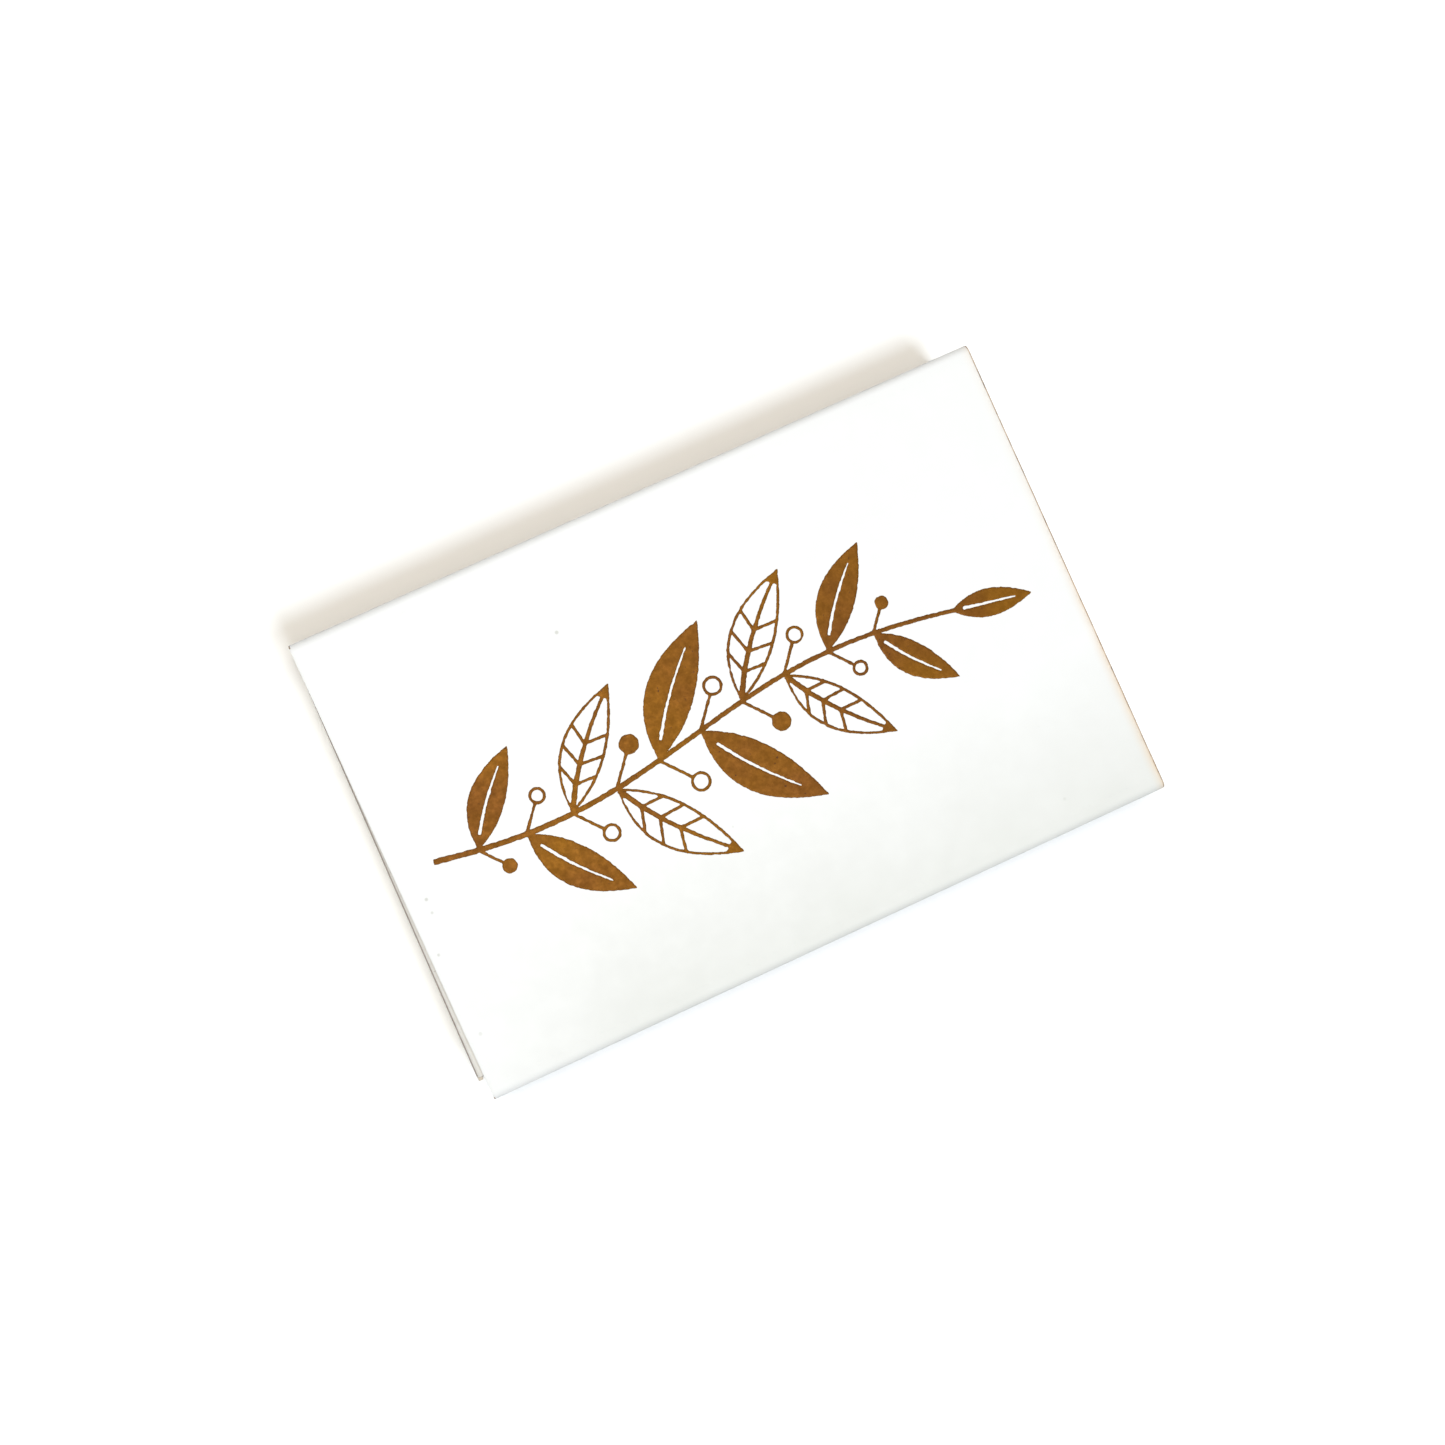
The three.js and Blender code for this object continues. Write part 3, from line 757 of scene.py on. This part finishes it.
def build_head(number, look):
    """From the socket's end, back over the splint, out at the dip line and over to the tip."""
    place, _ = splint_place(f"match_{number:02d}_splint")
    wood, widest = SPLINT_SIDE / 2, HEAD_WIDTH / 2
    skirt = wood + DIP_FILM
    rings = []
    for x in (DIP_FILM, -0.5 * HEAD_SKIRT, -HEAD_SKIRT):
        rings.append(square_ring(wood - SPLINT_WEAR, x))
    for share in spread(-1, 0, 1 / SKIRT_RINGS)[:-1]:
        full = skirt + (widest - skirt) * (1 - abs(share) ** SKIRT_SWELL)
        half = wood - SPLINT_WEAR + (full - wood + SPLINT_WEAR) * (1 - abs(share) ** SKIRT_LIP)
        rings.append(head_ring(HEAD_SKIRT * share, half, HEAD_SQUARE - 0.5 * share, number))
    for i in range(TIP_RINGS):
        a = math.pi / 2 * i / TIP_RINGS
        c, s = math.cos(a), math.sin(a)
        rings.append(head_ring(HEAD_TIP * s, widest * c, HEAD_SQUARE * c, number))
    wavy_dip_line(rings, number)
    return joined(f"head_{number:02d}", [placed(tube(rings), place)], [look], 80)


def square_ring(half, x):
    """A square outline at as many even angles as a head's ring has."""
    ring = []
    for i in range(HEAD_SIDES):
        a = 2 * math.pi * (i + 0.5) / HEAD_SIDES
        reach = half / max(abs(math.cos(a)), abs(math.sin(a)))
        ring.append(Vector((x, reach * math.cos(a), reach * math.sin(a))))
    return ring


def wavy_dip_line(rings, number):
    """The dip ends in an uneven line on the wood: the skirt is drawn forward, its end the most."""
    for ring in rings:
        for point in ring:
            share = max(0, -point.x / HEAD_SKIRT) ** 3
            wave = wander_share((0, point.y, point.z), DIP_GRAIN, 6.1 * number)
            point.x += DIP_WAVE * share * wave


# The striking strips: a printed film of grit with a ragged border

def build_striker(name, look):
    low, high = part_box(name)
    side = 1 if low.y > 0 else -1
    wall = low.y if side > 0 else high.y
    xs = spread(low.x, high.x, STRIKER_STEP)
    zs = spread(low.z, high.z, STRIKER_STEP)
    thickness = high.y - low.y
    vertices = []
    for film in (1, 0):
        for i, x in enumerate(xs):
            for j, z in enumerate(zs):
                at_rim = i in (0, len(xs) - 1) or j in (0, len(zs) - 1)
                inset = STRIKER_RAGGED * wander_share((x, wall, z), BORDER_GRAIN, 2.0)
                px = x + (inset if i == 0 else -inset if i == len(xs) - 1 else 0)
                pz = z + (inset if j == 0 else -inset if j == len(zs) - 1 else 0)
                grit = 0.55 + 0.4 * wander((x, 2 * wall, z), STRIKER_GRAIN, 8.0)
                share = STRIKER_RIM_SHARE if at_rim else grit
                depth = thickness * share * film - SINK * (1 - film)
                vertices.append(Vector((px, wall + side * depth, pz)))
    return joined(name + "_strip", [(vertices, *slab_faces(len(xs), len(zs)))], [look])


def slab_faces(columns, rows):
    """The faces of a slab of two grids of points, and the band round their border."""
    lower = columns * rows
    faces = []
    for i in range(columns - 1):
        for j in range(rows - 1):
            a = i * rows + j
            quad = (a, a + 1, a + rows + 1, a + rows)
            faces += [quad, tuple(lower + k for k in reversed(quad))]
    faces += [(a, b, lower + b, lower + a) for a, b in neighbours(grid_rim(columns, rows))]
    return faces, [0] * len(faces)


# The foil: the solid's own outlines, smoothed, worn ragged and pressed down at their rims

def top_outlines(node):
    """The closed outlines of a flat node's top face, as lists of points in millimetres."""
    bm = bmesh.new()
    bm.from_mesh(frame["nodes"][node].data)
    bmesh.ops.remove_doubles(bm, verts=bm.verts, dist=SAME_PLACE)
    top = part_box(node)[1].z
    in_order = [f for f in bm.faces if all(abs(v.co.z - top) < SAME_PLACE for v in f.verts)]
    faces = set(in_order)
    loops = [loop for face in in_order for loop in face.loops]
    border = dict.fromkeys(loop for loop in loops if loop.link_loop_radial_next.face not in faces)
    outlines = []
    while border:
        first = loop = next(iter(border))
        points = []
        while loop in border:
            del border[loop]
            points.append(loop.vert.co.xy / MM)
            loop = loop.link_loop_next
            while loop.link_loop_radial_next.face in faces:
                loop = loop.link_loop_radial_next.link_loop_next
            if loop is first:
                break
        outlines.append(points)
    bm.free()
    return outlines


def turning(before, at, after):
    """How far the outline turns at a point, in degrees."""
    return abs(math.degrees((at - before).angle_signed(after - at, 0)))


def softened(points):
    """Cuts corners: a quarter of each stretch where the outline runs on, little at a sharp corner."""
    result = []
    count = len(points)
    for i, at in enumerate(points):
        before, after = points[i - 1], points[(i + 1) % count]
        limit = FOIL_CUT if turning(before, at, after) < FOIL_TURN else FOIL_CORNER
        for other in (before, after):
            gap = (other - at).length
            result.append(at.lerp(other, min(FOIL_CUT_SHARE, limit / gap) if gap > FOIL_NO_GAP else 0))
    return result


def resampled(points, step):
    """Even places round a closed outline."""
    lengths = [(b - a).length for a, b in neighbours(points)]
    count = max(8, round(sum(lengths) / step))
    pace = sum(lengths) / count
    result, walked, target = [], 0.0, 0.0
    for (a, b), length in zip(neighbours(points), lengths):
        while target < walked + length and len(result) < count:
            result.append(a.lerp(b, (target - walked) / length))
            target += pace
        walked += length
    return result


def worn(points):
    """Moves the outline in and out: fine fray, and a bite here and there. Gives points of two
    rings inside it too, each with how many rims deep it lies."""
    count = len(points)
    edge, inner = [], []
    for i, at in enumerate(points):
        along = (points[(i + 1) % count] - points[i - 1]).normalized()
        inward = Vector((-along.y, along.x))
        spot = Vector((at.x, at.y, 0))
        broad = noise.noise(spot / FRAY_BROAD)
        fine = noise.noise(spot / FRAY_FINE + Vector((7, 3, 1)))
        fray = 0.6 * broad + 0.4 * fine
        bite = max(0, noise.noise(spot / BITE_GRAIN + Vector((31, 5, 2))) - BITE_FROM)
        moved = at + inward * (FOIL_FRAY * fray + FOIL_BITE * bite)
        edge.append(moved)
        inner += [(moved + inward * FOIL_RIM * depth, depth) for depth in (1, FOIL_DEEP)]
    return edge, inner


def inside_triangles(points, edges, extra):
    """Triangles within the outlines: those reached across an odd number of outline edges. Gives
    their corners' places, the triangles, and whether each place lies on an outline."""
    meshed = geometry.delaunay_2d_cdt(points + extra, edges, [], 0, FOIL_MEETING)
    places, joins, triangles, origins, sources, _ = meshed
    walls = {frozenset(join) for join, source in zip(joins, sources) if source}
    beside = {}
    for t, triangle in enumerate(triangles):
        for side in neighbours(triangle):
            beside.setdefault(frozenset(side), []).append(t)
    odd = {}
    waiting = [(ts[0], e in walls) for e, ts in beside.items() if len(ts) == 1]
    while waiting:
        t, is_odd = waiting.pop()
        if t in odd:
            continue
        odd[t] = is_odd
        for side in neighbours(triangles[t]):
            edge = frozenset(side)
            waiting += [(other, is_odd != (edge in walls)) for other in beside[edge] if other not in odd]
    kept = [triangle for t, triangle in enumerate(triangles) if odd[t]]
    on_rim = [any(i < len(points) for i in source) for source in origins]
    return places, kept, on_rim


def clear_of(points, candidates):
    """The candidates that keep nearly their own depth from every one of the points."""
    tree = kdtree.KDTree(len(points))
    for i, point in enumerate(points):
        tree.insert((*point, 0), i)
    tree.balance()
    least = FOIL_CLEAR_SHARE * FOIL_RIM
    return [p for p, depth in candidates if tree.find((*p, 0))[2] > least * depth]


def foil_sheet():
    """The worn print as flat triangles: see inside_triangles."""
    edge_points, inner_points, edges = [], [], []
    for outline in top_outlines("foil_sprig"):
        for _ in range(FOIL_SOFTENINGS):
            outline = softened(outline)
        edge, inner = worn(resampled(outline, FOIL_STEP))
        first = len(edge_points)
        edges += neighbours(list(range(first, first + len(edge))))
        edge_points += edge
        inner_points += inner
    return inside_triangles(edge_points, edges, clear_of(edge_points, inner_points))


def film_shell(top, foot, triangles):
    """A closed shell between a film's top and its foot, with only the points that faces use."""
    vertices, count = top + foot, len(top)
    faces = [tuple(t) for t in triangles] + [tuple(count + i for i in reversed(t)) for t in triangles]
    sides = dict.fromkeys(side for triangle in triangles for side in neighbours(triangle))
    faces += [(b, a, count + a, count + b) for a, b in sides if (b, a) not in sides]
    used = sorted({i for face in faces for i in face})
    number = {old: new for new, old in enumerate(used)}
    faces = [tuple(number[i] for i in face) for face in faces]
    return [vertices[i] for i in used], faces, [0] * len(faces)


def build_foil(look):
    low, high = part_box("foil_sprig")
    places, triangles, on_rim = foil_sheet()
    top = []
    for place, rim in zip(places, on_rim):
        crown = 0.5 + 0.5 * noise.noise(Vector((place.x, place.y, 4)) / RIPPLE_GRAIN)
        drop = FOIL_PRESSED if rim else FOIL_RIPPLE * crown
        top.append(Vector((place.x * MM, place.y * MM, high.z - drop)))
    foot = [Vector((v.x, v.y, low.z - SINK)) for v in top]
    return joined("foil_print", [film_shell(top, foot, triangles)], [look], 60)


# The camera, the light and the floor

def add_camera():
    tilt_x, tilt_y, tilt_z = (math.radians(a) for a in CAMERA_TILT)
    turn = (Matrix.Rotation(tilt_x, 3, "X") @ Matrix.Rotation(tilt_y, 3, "Y")
            @ Matrix.Rotation(tilt_z, 3, "Z"))
    back = turn.transposed()
    place = -(back @ Vector((*CAMERA_SHIFT, -CAMERA_DISTANCE)))
    data = bpy.data.cameras.new("photo_camera")
    data.sensor_fit = "HORIZONTAL"
    data.sensor_width = SENSOR
    data.lens = FOCAL_PIXELS / PHOTO_SIDE * SENSOR
    data.clip_start = 1 * MM
    camera = link(bpy.data.objects.new("photo_camera", data))
    camera.matrix_world = Matrix.Translation(place) @ back.to_4x4()
    bpy.context.scene.camera = camera


def area_light(name, place, size, glow, colour):
    """A soft square light at a place, aimed at the box. glow is what it adds to white paper by the
    box."""
    aim = Vector(place)
    distance = aim.length
    data = bpy.data.lights.new(name, "AREA")
    data.size = size
    data.energy = glow * math.pi ** 2 * distance ** 2 / aim.normalized().z
    data.color = colour
    lamp = link(bpy.data.objects.new(name, data))
    lamp.location = aim
    lamp.rotation_euler = aim.to_track_quat("Z", "Y").to_euler()


def toward(bearing, height, distance):
    """The place that far from the box, at a bearing and a height in degrees."""
    a, e = math.radians(bearing), math.radians(height)
    return Vector((math.cos(e) * math.cos(a), math.cos(e) * math.sin(a), math.sin(e))) * distance


def add_light():
    """A white room, a lamp over the box and a cooler one high in front that casts the shadow."""
    world = bpy.data.worlds.new("studio")
    bpy.context.scene.world = world
    world.use_nodes = True
    tree = world.node_tree
    room = tree.nodes["Background"]
    room.inputs["Color"].default_value = (*ROOM_COLOUR, 1)
    room.inputs["Strength"].default_value = ROOM_GLOW
    backdrop = tree.nodes.new("ShaderNodeBackground")
    backdrop.inputs["Color"].default_value = (1, 1, 1, 1)
    seen = tree.nodes.new("ShaderNodeLightPath")
    choice = tree.nodes.new("ShaderNodeMixShader")
    tree.links.new(seen.outputs["Is Camera Ray"], choice.inputs[0])
    tree.links.new(room.outputs[0], choice.inputs[1])
    tree.links.new(backdrop.outputs[0], choice.inputs[2])
    tree.links.new(choice.outputs[0], tree.nodes["World Output"].inputs[0])
    area_light("overhead", OVERHEAD_PLACE, OVERHEAD_SIZE, OVERHEAD_GLOW, OVERHEAD_COLOUR)
    area_light("key", toward(*KEY_PLACE), KEY_SIZE, KEY_GLOW, KEY_COLOUR)
    scene = bpy.context.scene
    scene.view_settings.view_transform = "Standard"
    scene.view_settings.look = "None"


def add_floor(look):
    half, low = FLOOR_HALF, CAD_BOX[0][2]
    corners = [(-half, -half, low), (half, -half, low), (half, half, low), (-half, half, low)]
    floor = mesh_object("floor", corners, [(0, 1, 2, 3)], [look])


def stand_for(obj, node):
    """The piece takes the place and the body of one of the frame's nodes, which is hidden."""
    bodies = frame["record"]["behaviour"]["bodies"]
    body = next(name for name, nodes in bodies.items() if node in nodes)
    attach(obj, body)
    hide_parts(node)


def card_looks():
    """Each side and edge of the two cards, with its colours from light to dark."""
    return {
        "card": coated_card(),
        "inside": plain_card("sleeve_inside", (0.72, 0.69, 0.63, 1), (0.61, 0.57, 0.5, 1)),
        "edge": raw_edge("sleeve_edge", (0.58, 0.46, 0.35, 1), (0.4, 0.27, 0.18, 1),
                         (0.13, 0.08, 0.055, 1)),
        "tray_edge": raw_edge("tray_edge", (0.66, 0.6, 0.52, 1), (0.52, 0.45, 0.37, 1),
                              (0.34, 0.28, 0.22, 1)),
        "tray": plain_card("tray_outside", (0.72, 0.705, 0.675, 1), (0.65, 0.63, 0.595, 1)),
        # Painted shade for the shoulders of the tray's rolls
        "shade_on_rolls": plain_card("painted_shade_card", (0.45, 0.39, 0.355, 1), (0.33, 0.28, 0.255, 1)),
        "tray_inside": plain_card("tray_inside", (0.75, 0.72, 0.66, 1), (0.64, 0.6, 0.53, 1)),
    }


def main():
    looks = card_looks()
    wood, compound = aspen(), head_compound()
    add_camera()
    add_light()
    add_floor(white_floor())
    stand_for(build_sleeve(looks), "sleeve")
    stand_for(build_tray(looks), "tray")
    stand_for(build_foil(copper_foil()), "foil_sprig")
    striking = striking_surface()
    for name in ("striker_front", "striker_back"):
        stand_for(build_striker(name, striking), name)
    for number in range(1, MATCHES + 1):
        stand_for(build_splint(number, wood), f"match_{number:02d}_splint")
        stand_for(build_head(number, compound), f"match_{number:02d}_head")


main()
